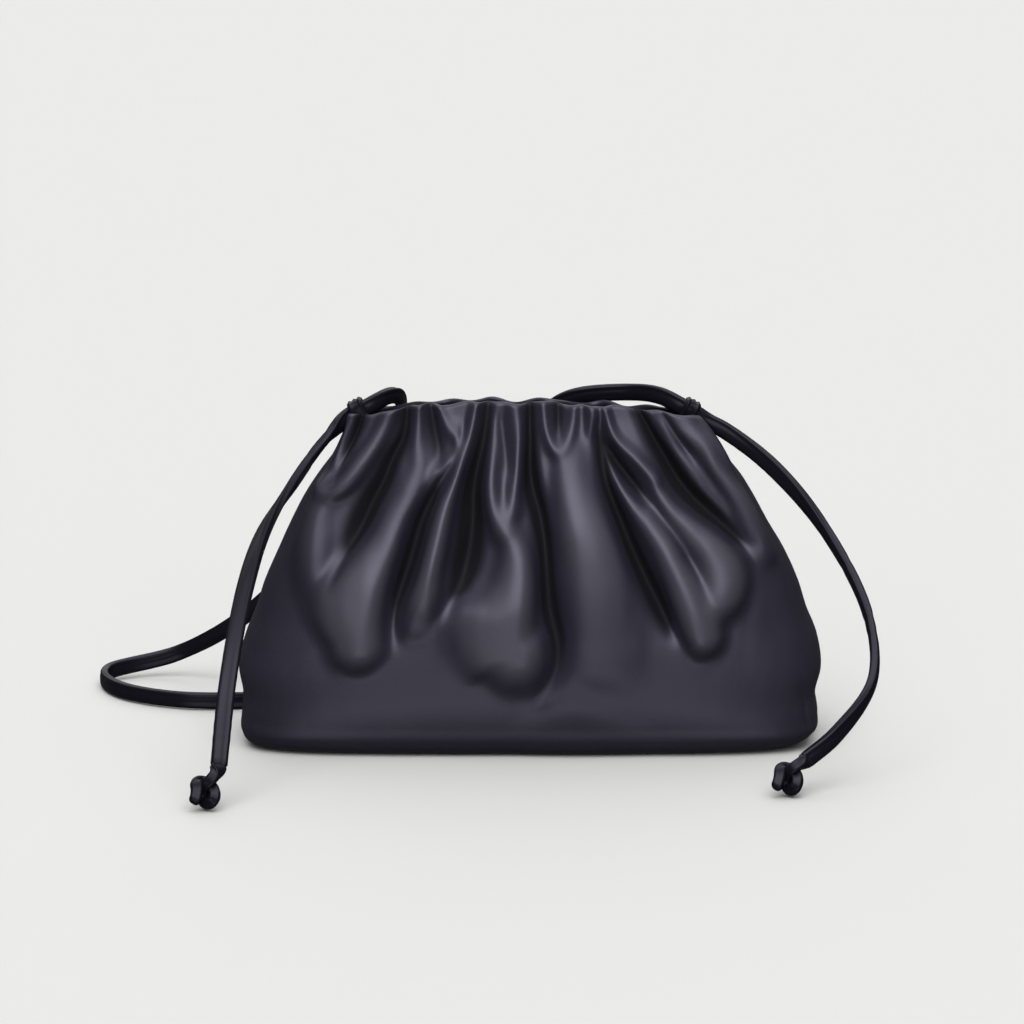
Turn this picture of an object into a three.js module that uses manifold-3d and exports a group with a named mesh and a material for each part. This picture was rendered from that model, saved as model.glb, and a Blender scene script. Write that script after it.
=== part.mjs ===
// A gathered pouch bag in smooth leather, standing on its base, with one long strap that runs through a
// loop at each end of the mouth and ends in two knots. Millimetres, +Z up, +X to the right of the front.
// The origin lies on the floor under the middle of the base.

import * as THREE from "three";
import { mergeVertices } from "three/addons/utils/BufferGeometryUtils.js";
import Module from "manifold-3d";

const wasm = await Module();
wasm.setup();

// Driving dimensions of the pouch
const baseWidth = 240;
const baseDepth = 84;
const pouchHeight = 143;
const mouthWidth = 147.4;
const mouthDepth = 22;
const mouthShift = -2.4;
const rimDrop = 7;
const backRimDrop = 2.5;
const endDip = 10;
const wallThickness = 2;
const hemThickness = 3;
const cornerThickness = 1.6;
const foldHeight = 6.5;

// Shares of the pouch's height between which the wall grows into the hem, of a fold's length where it is
// fully grown and where it starts to fade, of the half width over which the folds flatten towards the two
// ends, and of the half depth between which the rim dips at the ends
const hemFoot = 0.88;
const hemTop = 0.95;
const foldGrown = 0.3;
const foldFading = 0.55;
const plainFrom = 0.86;
const plainTo = 0.98;
const dipFull = 0.28;
const dipNone = 0.52;

// Driving dimensions of the strap, the loops that hold it and its knots
const strapWidth = 7;
const strapThickness = 4;
const loopLeather = 1.5;
const loopCorner = 1.4;
const loopLength = 6.5;
const strapPlay = 0.4;
const leftLoopInset = 5.6;
const rightLoopInset = 5.8;
const loopDrop = 3.4;
const leftLoopTilt = 26;
const rightLoopTilt = 28;
const tabLength = 6;
const tabThickness = 2.4;
const knotSize = 16.4;
const knotStrand = 4.8;
const knotLobe = 0.475;
const knotRise = 0.575;

// Resolution of the curved skins
const frontColumns = 56;
const backColumns = 40;
const strapSides = 8;
const strapSteps = 78;
const knotStretches = 6;
const knotOverlap = 0.12;
const knotSteps = 7;
const denseFrom = 0.09;

// Upright sections of the pouch. height is a share of its height. left, right, front and back say how
// far that side has drawn in, from the base's size at 0 to the mouth's at 1. square is the section's
// exponent, from 2 for an ellipse up to a rounded rectangle.
const SECTIONS = [
  { height: 0.0, left: 0.17, right: 0.3, front: 0.21, back: 0.18, square: 4.6 },
  { height: 0.014, left: 0.07, right: 0.14, front: 0.09, back: 0.08, square: 4.8 },
  { height: 0.04, left: 0.02, right: 0.04, front: 0.01, back: 0.0, square: 4.8 },
  { height: 0.09, left: 0.02, right: 0.02, front: -0.06, back: -0.06, square: 4.4 },
  { height: 0.15, left: 0.03, right: 0.04, front: -0.12, back: -0.12, square: 3.9 },
  { height: 0.22, left: -0.01, right: -0.01, front: -0.13, back: -0.17, square: 3.4 },
  { height: 0.3, left: 0.05, right: 0.02, front: -0.12, back: -0.18, square: 3.0 },
  { height: 0.38, left: 0.15, right: 0.11, front: -0.08, back: -0.13, square: 2.8 },
  { height: 0.46, left: 0.23, right: 0.18, front: -0.03, back: -0.03, square: 2.6 },
  { height: 0.56, left: 0.36, right: 0.3, front: 0.12, back: 0.12, square: 2.5 },
  { height: 0.66, left: 0.49, right: 0.45, front: 0.3, back: 0.3, square: 2.4 },
  { height: 0.76, left: 0.63, right: 0.58, front: 0.49, back: 0.49, square: 2.5 },
  { height: 0.84, left: 0.76, right: 0.69, front: 0.66, back: 0.66, square: 2.6 },
  { height: 0.91, left: 0.88, right: 0.81, front: 0.83, back: 0.83, square: 2.9 },
  { height: 0.96, left: 0.96, right: 0.91, front: 0.94, back: 0.94, square: 3.4 },
  { height: 1.0, left: 1.0, right: 1.0, front: 1.0, back: 1.0, square: 4.0 },
];

// The rolled edge of the hem, from the outer skin at depth 0 to the inner one at depth 1, and the heights of
// the rings of the inner skin below it.
const HEM_ROLL = [
  { height: 0.996, depth: 0.12 },
  { height: 1.0, depth: 0.5 },
  { height: 0.996, depth: 0.88 },
];
const INNER_HEIGHTS = [0.975, 0.93, 0.87, 0.79, 0.7, 0.6, 0.48, 0.34, 0.2, 0.08];

// How far the rim sags below its highest point, as a share of rimDrop, across the half width of the mouth.
const RIM_LINE = [
  { across: -1.0, sag: 1.0 },
  { across: -0.8, sag: 0.62 },
  { across: -0.6, sag: 0.24 },
  { across: -0.3, sag: 0.04 },
  { across: 0.0, sag: 0.05 },
  { across: 0.35, sag: 0.2 },
  { across: 0.7, sag: 0.52 },
  { across: 1.0, sag: 1.0 },
];

// Gathers that run down from the rim. rim, middle and foot are the places of a fold's crest across the half
// width. reach is the share of the height over which it dies away. slim and full are its half widths at the
// rim and foot. lift is a share of foldHeight, below zero for a valley. start is the share of lift that is
// there at the rim.
const FRONT_FOLDS = [
  { rim: -0.86, middle: -0.89, foot: -0.92, reach: 0.28, slim: 0.11, full: 0.08, lift: -0.5, start: 0.5 },
  { rim: -0.7, middle: -0.88, foot: -0.77, reach: 0.62, slim: 0.08, full: 0.12, lift: 0.5, start: 0.5 },
  { rim: -0.57, middle: -0.68, foot: -0.72, reach: 0.78, slim: 0.08, full: 0.1, lift: -0.8, start: 0.35 },
  { rim: -0.42, middle: -0.51, foot: -0.58, reach: 0.84, slim: 0.08, full: 0.14, lift: 1.0, start: 0.35 },
  { rim: -0.35, middle: -0.43, foot: -0.46, reach: 0.7, slim: 0.075, full: 0.09, lift: -0.6, start: 0.35 },
  { rim: -0.29, middle: -0.36, foot: -0.39, reach: 0.66, slim: 0.075, full: 0.085, lift: 0.8, start: 0.4 },
  { rim: -0.22, middle: -0.26, foot: -0.32, reach: 0.7, slim: 0.08, full: 0.12, lift: -1.0, start: 0.3 },
  { rim: -0.06, middle: -0.08, foot: -0.05, reach: 0.86, slim: 0.08, full: 0.22, lift: 0.8, start: 0.4 },
  { rim: 0.01, middle: 0.08, foot: 0.03, reach: 0.94, slim: 0.08, full: 0.08, lift: -1.1, start: 0.3 },
  { rim: 0.19, middle: 0.2, foot: 0.2, reach: 0.64, slim: 0.13, full: 0.2, lift: 0.9, start: 0.3 },
  { rim: 0.17, middle: 0.17, foot: 0.17, reach: 0.15, slim: 0.07, full: 0.06, lift: -0.5, start: 0.7 },
  { rim: 0.32, middle: 0.44, foot: 0.54, reach: 0.8, slim: 0.09, full: 0.11, lift: -0.85, start: 0.3 },
  { rim: 0.42, middle: 0.54, foot: 0.6, reach: 0.8, slim: 0.08, full: 0.12, lift: 0.7, start: 0.2 },
  { rim: 0.5, middle: 0.53, foot: 0.58, reach: 0.36, slim: 0.1, full: 0.07, lift: -0.5, start: 0.5 },
  { rim: 0.6, middle: 0.72, foot: 0.72, reach: 0.66, slim: 0.07, full: 0.1, lift: -0.6, start: 0.4 },
  { rim: 0.7, middle: 0.82, foot: 0.72, reach: 0.8, slim: 0.07, full: 0.14, lift: 0.6, start: 0.5 },
];

const BACK_FOLDS = [
  { rim: -0.8, middle: -0.85, foot: -0.86, reach: 0.6, slim: 0.08, full: 0.12, lift: 0.5, start: 0.4 },
  { rim: -0.63, middle: -0.69, foot: -0.71, reach: 0.72, slim: 0.08, full: 0.11, lift: -0.7, start: 0.3 },
  { rim: -0.46, middle: -0.52, foot: -0.56, reach: 0.78, slim: 0.08, full: 0.14, lift: 0.8, start: 0.35 },
  { rim: -0.31, middle: -0.36, foot: -0.4, reach: 0.66, slim: 0.08, full: 0.1, lift: -0.7, start: 0.3 },
  { rim: -0.2, middle: -0.22, foot: -0.24, reach: 0.76, slim: 0.07, full: 0.13, lift: 0.8, start: 0.35 },
  { rim: -0.05, middle: -0.06, foot: -0.05, reach: 0.84, slim: 0.07, full: 0.11, lift: -0.8, start: 0.3 },
  { rim: 0.11, middle: 0.13, foot: 0.15, reach: 0.72, slim: 0.08, full: 0.14, lift: 0.8, start: 0.35 },
  { rim: 0.25, middle: 0.3, foot: 0.33, reach: 0.66, slim: 0.08, full: 0.1, lift: -0.7, start: 0.3 },
  { rim: 0.38, middle: 0.43, foot: 0.48, reach: 0.8, slim: 0.08, full: 0.14, lift: 0.9, start: 0.35 },
  { rim: 0.54, middle: 0.6, foot: 0.64, reach: 0.7, slim: 0.08, full: 0.1, lift: -0.7, start: 0.3 },
  { rim: 0.7, middle: 0.76, foot: 0.78, reach: 0.66, slim: 0.08, full: 0.12, lift: 0.7, start: 0.4 },
];

// The strap's way from the left knot to the right one: up to the left loop, over the mouth, down behind the
// bag and round a turn on the floor, up the back, along the back rim and through the right loop.
// wide is the way that the strap's broad side runs across.
const ROUTE = [
  { at: [-124.4, -123.5, 15.2], wide: [1, 0, 0] },
  { at: [-121.1, -104, 47.4], wide: [1, 0, 0] },
  { at: [-114.9, -70, 79.2], wide: [1, -0.3, 0] },
  { at: [-107.9, -45, 97], wide: [0.5, -0.9, 0.1] },
  { at: [-96.2, -23, 112.4], wide: [0, -0.8, 0.6] },
  { at: [-84.6, -8, 126.2], wide: [-0.1, -1, 0.3] },
  { at: [-74.1, 0, 135.2], wide: [-0.44, 0, 0.9] },
  { at: [-70.5, 0, 137], wide: [-0.44, 0, 0.9] },
  { at: [-66.9, 0, 138.8], wide: [-0.44, 0, 0.9] },
  { at: [-62.6, 2.4, 140.7], wide: [-0.2, 0, 1] },
  { at: [-58.2, 7, 142], wide: [0, -0.2, 1] },
  { at: [-54.4, 13, 140.6], wide: [0.2, 0.4, 1] },
  { at: [-53.2, 20, 135.2], wide: [0.3, 0.9, 0.8] },
  { at: [-56.5, 32, 123], wide: [0.4, 1, 0.5] },
  { at: [-82, 60, 78], wide: [0, 1, 0.6] },
  { at: [-118.3, 78, 35], wide: [0, 0.3, 1] },
  { at: [-151, 104, 10.5], wide: [0, 0, 1] },
  { at: [-180, 95, 4.4], wide: [0, 0, 1] },
  { at: [-174, 64.5, 4.1], wide: [0, 0, 1] },
  { at: [-141.9, 44, 4.1], wide: [0, 0, 1] },
  { at: [-84, 54.5, 4.3], wide: [0, 0.1, 1] },
  { at: [-34, 60.5, 14], wide: [0.5, 0.3, 0.8] },
  { at: [-13, 57.5, 52], wide: [1, 0, 0.2] },
  { at: [-4.5, 38.5, 100], wide: [1, 0, 0.2] },
  { at: [0, 28, 120], wide: [1, -0.1, 0.4] },
  { at: [7, 20.7, 132.5], wide: [0.6, -0.2, 0.9] },
  { at: [17.5, 16.4, 139.6], wide: [0, -0.1, 1] },
  { at: [42, 12.2, 142.6], wide: [0, 0, 1] },
  { at: [53.5, 4.6, 142.6], wide: [0.2, 0, 1] },
  { at: [62.2, 0, 139.2], wide: [0.47, 0, 0.88] },
  { at: [65.5, 0, 137.4], wide: [0.47, 0, 0.88] },
  { at: [68.8, 0, 135.6], wide: [0.47, 0, 0.88] },
  { at: [73.2, -0.3, 132.7], wide: [0.5, 0, 0.8] },
  { at: [80.6, -3, 129.2], wide: [0.5, 0, 0.8] },
  { at: [99, -14, 116.8], wide: [0.6, -0.4, 0.7] },
  { at: [120.2, -36.5, 95], wide: [0.4, -1, 0.3] },
  { at: [137, -58.5, 64.6], wide: [0.2, -1, 0] },
  { at: [138.4, -75, 41], wide: [-0.2, -1, 0.3] },
  { at: [123.4, -92.5, 22.9], wide: [-0.4, -0.3, 0.9] },
  { at: [109.5, -100.3, 12.8], wide: [-0.5, 0, 1] },
];

// The knots at the strap's two ends, and how each is turned, in degrees about X, Y and Z.
const KNOTS = [
  { name: "knot_left", at: [-126.8, -127, 8.4], turn: [70, 0, 30] },
  { name: "knot_right", at: [102.6, -101.5, 8.6], turn: [75, 0, -35] },
];

const leatherBody = new THREE.MeshStandardMaterial({ color: 0x2b2938, roughness: 0.36, metalness: 0 });
const leatherStrap = new THREE.MeshStandardMaterial({ color: 0x1b1a24, roughness: 0.3, metalness: 0 });

const smooth = THREE.MathUtils.smoothstep;
const mix = THREE.MathUtils.lerp;

// A smooth reading of a table: every other column at any value of its first column.
function reader(table, key) {
  const columns = Object.keys(table[0]).filter((name) => name !== key);
  const places = Float64Array.from(table, (row) => row[key]);
  const values = Float64Array.from(table.flatMap((row) => columns.map((name) => row[name])));
  const curve = new THREE.CubicInterpolant(places, values, columns.length);
  return (place) => {
    const read = curve.evaluate(place);
    return Object.fromEntries(columns.map((name, i) => [name, read[i]]));
  };
}

const sectionAt = reader(SECTIONS, "height");
const rimLineAt = reader(RIM_LINE, "across");

const mouthLeft = mouthWidth / 2 - mouthShift;
const mouthRight = mouthWidth / 2 + mouthShift;

// The four half sizes of the pouch's section at a share of its height, and its exponent.
function halfSizes(height) {
  const row = sectionAt(height);
  return {
    left: mix(baseWidth / 2, mouthLeft, row.left),
    right: mix(baseWidth / 2, mouthRight, row.right),
    front: mix(baseDepth / 2, mouthDepth / 2, row.front),
    back: mix(baseDepth / 2, mouthDepth / 2, row.back),
    square: row.square,
  };
}

// How far the gathers push the skin outwards at a place across the half width and a share of the height.
function foldLift(folds, across, height) {
  let lift = 0;
  for (const fold of folds) {
    const down = (1 - height) / fold.reach;
    if (down < 1) {
      const crest =
        fold.rim * (1 - down) * (1 - 2 * down) +
        fold.middle * 4 * down * (1 - down) +
        fold.foot * down * (2 * down - 1);
      const away = (across - crest) / mix(fold.slim, fold.full, down);
      if (Math.abs(away) < 1) {
        const grown = mix(fold.start, 1, smooth(down, 0, foldGrown));
        const faded = 1 - smooth(down, foldFading, 1);
        lift += foldHeight * fold.lift * grown * faded * (1 - away * away) ** 2;
      }
    }
  }
  return lift * (1 - smooth(Math.abs(across), plainFrom, plainTo));
}

// The rim's height at a place across the half width of the mouth, on the front (-1) or the back (1). away
// says how far the place lies from the mouth's long axis: at both ends the rim dips to let the strap out.
function rimHeight(across, side, away) {
  const backShare = side > 0 ? 1 - across ** 4 : 0;
  const dipShare = 1 - smooth(away, dipFull, dipNone);
  return pouchHeight - rimDrop * rimLineAt(across).sag - backRimDrop * backShare - endDip * dipShare;
}

// A point of the pouch. turn goes from -1 at the left end to 1 at the right one and is eased so that columns
// are closer at the ends. side is -1 on the front and 1 on the back, and depth is 0 on the outer skin and 1
// on the inner one.
function pouchPoint(turn, side, height, depth) {
  const half = halfSizes(height);
  const across = turn * (1.5 - 0.5 * turn * turn);
  const away = Math.max(0, 1 - Math.abs(across) ** half.square) ** (1 / half.square);
  const hem = smooth(height, hemFoot, hemTop);
  const insetAcross = depth * mix(wallThickness, cornerThickness, hem);
  const insetAway = depth * mix(wallThickness, hemThickness, hem);
  const halfWidth = across < 0 ? half.left : half.right;
  const halfDepth = side < 0 ? half.front : half.back;
  const normal = new THREE.Vector2(
    (Math.sign(across) * Math.abs(across) ** (half.square - 1)) / halfWidth,
    (side * away ** (half.square - 1)) / halfDepth,
  ).normalize();
  const lift = foldLift(side < 0 ? FRONT_FOLDS : BACK_FOLDS, across, height);
  return new THREE.Vector3(
    across * (halfWidth - insetAcross) + normal.x * lift,
    side * away * (halfDepth - insetAway) + normal.y * lift,
    height * mix(pouchHeight, rimHeight(across, side, away), height ** 3),
  );
}

// The leather wall, as one closed skin: up the outside from the middle of the base, over the hem and down
// the inside. It starts as a turned profile whose points are then moved to the pouch's sections.
function pouchGeometry() {
  const outerHeights = SECTIONS.flatMap((row, i) => {
    const next = SECTIONS[i + 1];
    return next && row.height >= denseFrom ? [row.height, (row.height + next.height) / 2] : [row.height];
  }).slice(0, -1);
  const rows = [
    ...outerHeights.map((height) => ({ height, depth: 0 })),
    ...HEM_ROLL,
    ...INNER_HEIGHTS.map((height) => ({ height, depth: 1 })),
    { height: wallThickness / pouchHeight, depth: 1 },
  ];
  const profile = [
    new THREE.Vector2(0, 0),
    ...rows.map((row) => new THREE.Vector2(baseWidth / 2, row.height * pouchHeight)),
    new THREE.Vector2(0, wallThickness),
  ];
  const columns = frontColumns + backColumns;
  const geometry = new THREE.LatheGeometry(profile, columns);
  const position = geometry.getAttribute("position");
  for (let column = 0; column <= columns; column += 1) {
    const onFront = column <= frontColumns;
    const turn = onFront
      ? -1 + (2 * column) / frontColumns
      : 1 - (2 * (column - frontColumns)) / backColumns;
    rows.forEach((row, i) => {
      const point = pouchPoint(turn, onFront ? -1 : 1, row.height, row.depth);
      position.setXYZ(column * profile.length + i + 1, point.x, point.y, point.z);
    });
    position.setXYZ(column * profile.length, 0, 0, 0);
    position.setXYZ((column + 1) * profile.length - 1, 0, 0, wallThickness);
  }
  return geometry;
}

// A geometry as a closed solid with shared vertices, which can be joined to another.
function solidOf(geometry) {
  const plain = geometry.clone();
  plain.deleteAttribute("normal");
  plain.deleteAttribute("uv");
  const merged = mergeVertices(plain, 1e-4);
  return new wasm.Manifold(
    new wasm.Mesh({
      numProp: 3,
      vertProperties: merged.getAttribute("position").array,
      triVerts: new Uint32Array(merged.index.array),
    }),
  );
}

function geometryOf(solid) {
  const mesh = solid.getMesh();
  const geometry = new THREE.BufferGeometry();
  geometry.setAttribute("position", new THREE.BufferAttribute(mesh.vertProperties, 3));
  geometry.setIndex(new THREE.BufferAttribute(mesh.triVerts, 1));
  geometry.computeVertexNormals();
  return geometry;
}

// A smooth line through hand-chosen points whose frame follows given broad directions.
class StrapLine extends THREE.CatmullRomCurve3 {
  constructor(route) {
    super(route.map((row) => new THREE.Vector3(...row.at)));
    this.broad = new THREE.CatmullRomCurve3(route.map((row) => new THREE.Vector3(...row.wide)));
  }

  getPointAt(share, target) {
    return this.getPoint(share, target);
  }

  computeFrenetFrames(steps) {
    const frames = { tangents: [], normals: [], binormals: [] };
    for (let i = 0; i <= steps; i += 1) {
      const tangent = this.getTangent(i / steps);
      const broad = this.broad.getPoint(i / steps);
      const normal = broad.addScaledVector(tangent, -broad.dot(tangent)).normalize();
      frames.tangents.push(tangent);
      frames.normals.push(normal);
      frames.binormals.push(new THREE.Vector3().crossVectors(tangent, normal));
    }
    return frames;
  }
}

// A flat oval section with its broad side along x.
function ovalSection(width, thickness, sides) {
  const points = Array.from({ length: sides }, (_, i) => {
    const angle = ((i + 0.5) / sides) * 2 * Math.PI;
    const bend = (value) => Math.sign(value) * Math.abs(value) ** 0.6;
    return new THREE.Vector2((bend(Math.cos(angle)) * width) / 2, (bend(Math.sin(angle)) * thickness) / 2);
  });
  return new THREE.Shape(points);
}

function strapGeometry() {
  return new THREE.ExtrudeGeometry(ovalSection(strapWidth, strapThickness, strapSides), {
    steps: strapSteps,
    extrudePath: new StrapLine(ROUTE),
    bevelEnabled: false,
  });
}

// A strip of leather wrapped round the strap, with its two ends going down between the walls of the mouth.
function loopGeometry() {
  const halfHeight = strapWidth / 2 + strapPlay;
  const halfDepth = strapThickness / 2 + strapPlay;
  const outer = new THREE.Shape();
  const top = halfHeight + loopLeather;
  const out = halfDepth + loopLeather;
  const tab = tabThickness / 2;
  outer.moveTo(-tab, -top - tabLength);
  outer.lineTo(tab, -top - tabLength);
  outer.lineTo(tab, -top);
  outer.lineTo(out - loopCorner, -top);
  outer.quadraticCurveTo(out, -top, out, -top + loopCorner);
  outer.lineTo(out, top - loopCorner);
  outer.quadraticCurveTo(out, top, out - loopCorner, top);
  outer.lineTo(-out + loopCorner, top);
  outer.quadraticCurveTo(-out, top, -out, top - loopCorner);
  outer.lineTo(-out, -top + loopCorner);
  outer.quadraticCurveTo(-out, -top, -out + loopCorner, -top);
  outer.lineTo(-tab, -top);
  outer.closePath();
  const hole = new THREE.Path();
  hole.moveTo(-halfDepth, -halfHeight);
  hole.lineTo(-halfDepth, halfHeight);
  hole.lineTo(halfDepth, halfHeight);
  hole.lineTo(halfDepth, -halfHeight);
  hole.closePath();
  outer.holes.push(hole);
  const geometry = new THREE.ExtrudeGeometry(outer, {
    depth: loopLength,
    bevelEnabled: false,
    curveSegments: 3,
  });
  geometry.translate(0, 0, -loopLength / 2);
  geometry.rotateX(Math.PI / 2);
  geometry.rotateZ(Math.PI / 2);
  return geometry;
}

// An overhand knot pulled tight, as overlapping stretches of one strand joined into a solid.
function knotGeometry() {
  const line = (share) => {
    const angle = 2 * Math.PI * share;
    const radius = 1 + knotLobe * Math.cos(3 * angle);
    return new THREE.Vector3(
      radius * Math.cos(2 * angle),
      radius * Math.sin(2 * angle),
      knotRise * Math.sin(3 * angle),
    ).multiplyScalar((knotSize - knotStrand) / 2 / (1 + knotLobe));
  };
  let knot = null;
  for (let i = 0; i < knotStretches; i += 1) {
    const points = Array.from({ length: knotSteps + 2 }, (_, k) =>
      line((i + (k * (1 + knotOverlap)) / (knotSteps + 1)) / knotStretches),
    );
    const strand = new THREE.ExtrudeGeometry(ovalSection(knotStrand, knotStrand, strapSides), {
      steps: knotSteps,
      extrudePath: new THREE.CatmullRomCurve3(points),
      bevelEnabled: false,
    });
    const solid = solidOf(strand);
    knot = knot ? knot.add(solid) : solid;
  }
  return geometryOf(knot);
}

function named(name, geometry, material) {
  const mesh = new THREE.Mesh(geometry, material);
  mesh.name = name;
  return mesh;
}

function placedLoop(name, across, inset, tilt) {
  const loop = named(name, loopGeometry(), leatherStrap);
  const x = across < 0 ? -mouthLeft + inset : mouthRight - inset;
  const rim = rimHeight(x / (across < 0 ? mouthLeft : mouthRight), -1, 1);
  loop.position.set(x, 0, rim + strapWidth / 2 - loopDrop);
  loop.rotation.y = THREE.MathUtils.degToRad(tilt);
  return loop;
}

const bag = new THREE.Group();
bag.add(named("pouch", pouchGeometry(), leatherBody));
bag.add(placedLoop("loop_left", -1, leftLoopInset, -leftLoopTilt));
bag.add(placedLoop("loop_right", 1, rightLoopInset, rightLoopTilt));
bag.add(named("strap", strapGeometry(), leatherStrap));

for (const knot of KNOTS) {
  const mesh = named(knot.name, knotGeometry(), leatherStrap);
  mesh.position.set(...knot.at);
  mesh.rotation.set(...knot.turn.map(THREE.MathUtils.degToRad));
  bag.add(mesh);
}

export default bag;
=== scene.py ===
# %% [markdown]
# # A gathered leather pouch bag
# A small pouch of soft, glossy leather that stands on its flat base. Its walls are gathered into folds
# under a slim open mouth. A long strap runs through a loop at each end of the mouth and ends in two knots.
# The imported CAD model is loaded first, because it says where every piece goes.

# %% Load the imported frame
import math

import bmesh
import bpy
import numpy as np
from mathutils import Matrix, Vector, noise


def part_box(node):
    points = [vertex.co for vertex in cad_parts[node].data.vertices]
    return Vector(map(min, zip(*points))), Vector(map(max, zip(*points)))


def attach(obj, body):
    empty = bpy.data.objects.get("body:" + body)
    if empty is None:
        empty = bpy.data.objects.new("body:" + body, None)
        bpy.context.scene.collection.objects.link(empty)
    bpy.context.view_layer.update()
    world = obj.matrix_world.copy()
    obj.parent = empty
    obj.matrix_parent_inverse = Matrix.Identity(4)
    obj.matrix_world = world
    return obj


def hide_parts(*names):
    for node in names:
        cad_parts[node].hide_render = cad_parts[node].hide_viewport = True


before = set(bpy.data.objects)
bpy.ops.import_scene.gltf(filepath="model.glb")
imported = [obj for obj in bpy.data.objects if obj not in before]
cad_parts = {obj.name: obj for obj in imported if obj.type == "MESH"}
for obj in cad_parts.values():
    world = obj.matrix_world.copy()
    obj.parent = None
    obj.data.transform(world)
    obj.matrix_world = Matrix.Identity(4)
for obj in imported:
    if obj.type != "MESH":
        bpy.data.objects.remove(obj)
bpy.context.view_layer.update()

MM = 0.001
print("CAD nodes:", sorted(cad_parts))

# %% [markdown]
# ## The camera
# The photograph is taken from the front with a long lens, a little above the bag. A long lens keeps the
# pouch's upright edges nearly parallel. The camera comes first, because each piece is judged through it.

# %% Place the camera
CAMERA_AIM = Vector((-0.0074, 0.0, 0.0945))
CAMERA_DISTANCE = 3.0
CAMERA_TILT = math.radians(12)
CAMERA_LENS = 255.4

camera = bpy.data.objects.new("photo_camera", bpy.data.cameras.new("photo_camera"))
bpy.context.scene.collection.objects.link(camera)
bpy.context.scene.camera = camera
camera.data.lens = CAMERA_LENS
camera.data.clip_end = 50
CAMERA_EYE = CAMERA_AIM + CAMERA_DISTANCE * Vector((0, -math.cos(CAMERA_TILT), math.sin(CAMERA_TILT)))
camera.location = CAMERA_EYE
camera.rotation_euler = (CAMERA_AIM - camera.location).to_track_quat("-Z", "Y").to_euler()
print("camera at", [round(c, 3) for c in camera.location])

# %% [markdown]
# ## A grid that becomes a skin
# The pouch, the strap, the knots and the loops are all skins that close round themselves. Each could be
# extruded ring by ring, but one flat grid is quicker: its points are moved to the surface, its two side edges
# are merged, and every point keeps a place in a UV map, so that a pattern can follow the leather.

# %% Make closed skins from a grid
def closed_skin(name, columns, rows, place, caps=True):
    """A skin from a grid. place turns shares along the columns and rows into points and UVs, in metres."""
    skin = bmesh.new()
    bmesh.ops.create_grid(skin, x_segments=columns, y_segments=rows, size=0.5)
    flat = np.array([v.co for v in skin.verts])[:, :2] + 0.5
    points, uvs = place(flat[:, 0], flat[:, 1])
    uv_map = skin.loops.layers.uv.new("leather")
    for face in skin.faces:
        for corner in face.loops:
            corner[uv_map].uv = uvs[corner.vert.index]
    ends = [[v for v, f in zip(skin.verts, flat[:, 1]) if abs(f - side) < 1e-6] for side in (0, 1)]
    for vert, point in zip(skin.verts, points):
        vert.co = point
    bmesh.ops.remove_doubles(skin, verts=skin.verts, dist=1e-6)
    if caps:
        bmesh.ops.holes_fill(skin, edges=[e for e in skin.edges if e.is_boundary], sides=0)
    bmesh.ops.recalc_face_normals(skin, faces=skin.faces)
    return finished(name, skin)


def finished(name, skin):
    """Turns a bmesh into an object at the origin, with smooth faces."""
    mesh = bpy.data.meshes.new(name)
    skin.to_mesh(mesh)
    skin.free()
    mesh.polygons.foreach_set("use_smooth", [True] * len(mesh.polygons))
    piece = bpy.data.objects.new(name, mesh)
    bpy.context.scene.collection.objects.link(piece)
    print(f"{name}: {len(mesh.vertices)} points, {len(mesh.polygons)} faces")
    return piece

# %% [markdown]
# ## Smooth lines
# A strap or a fold is set down as a few points. A curve object could round them, but the script also
# needs numbers beside the places, such as a fold's width, so a small function rounds whole rows of numbers.

# %% Smooth lines and soft steps
def smooth_line(points, steps):
    """A smooth line through given points, with a number of steps between each two."""
    p = np.array(points, float)
    p = np.vstack([2 * p[0] - p[1], p, 2 * p[-1] - p[-2]])
    share = np.arange(steps)[:, None] / steps
    line = []
    for a, b, c, d in zip(p, p[1:], p[2:], p[3:]):
        ta, tb, tc = (max(np.linalg.norm(side) ** 0.5, 0.01) for side in (b - a, c - b, d - c))
        leave = ((b - a) / ta - (c - a) / (ta + tb) + (c - b) / tb) * tb
        arrive = ((c - b) / tb - (d - b) / (tb + tc) + (d - c) / tc) * tb
        bend = -3 * b + 3 * c - 2 * leave - arrive
        turn = 2 * b - 2 * c + leave + arrive
        line.append(b + leave * share + bend * share**2 + turn * share**3)
    return np.vstack(line + [p[-2:-1]])


def unit(vectors):
    return vectors / np.linalg.norm(vectors, axis=-1, keepdims=True)


def ease(value, start, stop):
    """Goes smoothly from 0 to 1 as value goes from start to stop."""
    share = np.clip((value - start) / (stop - start), 0, 1)
    return share * share * (3 - 2 * share)
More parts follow.
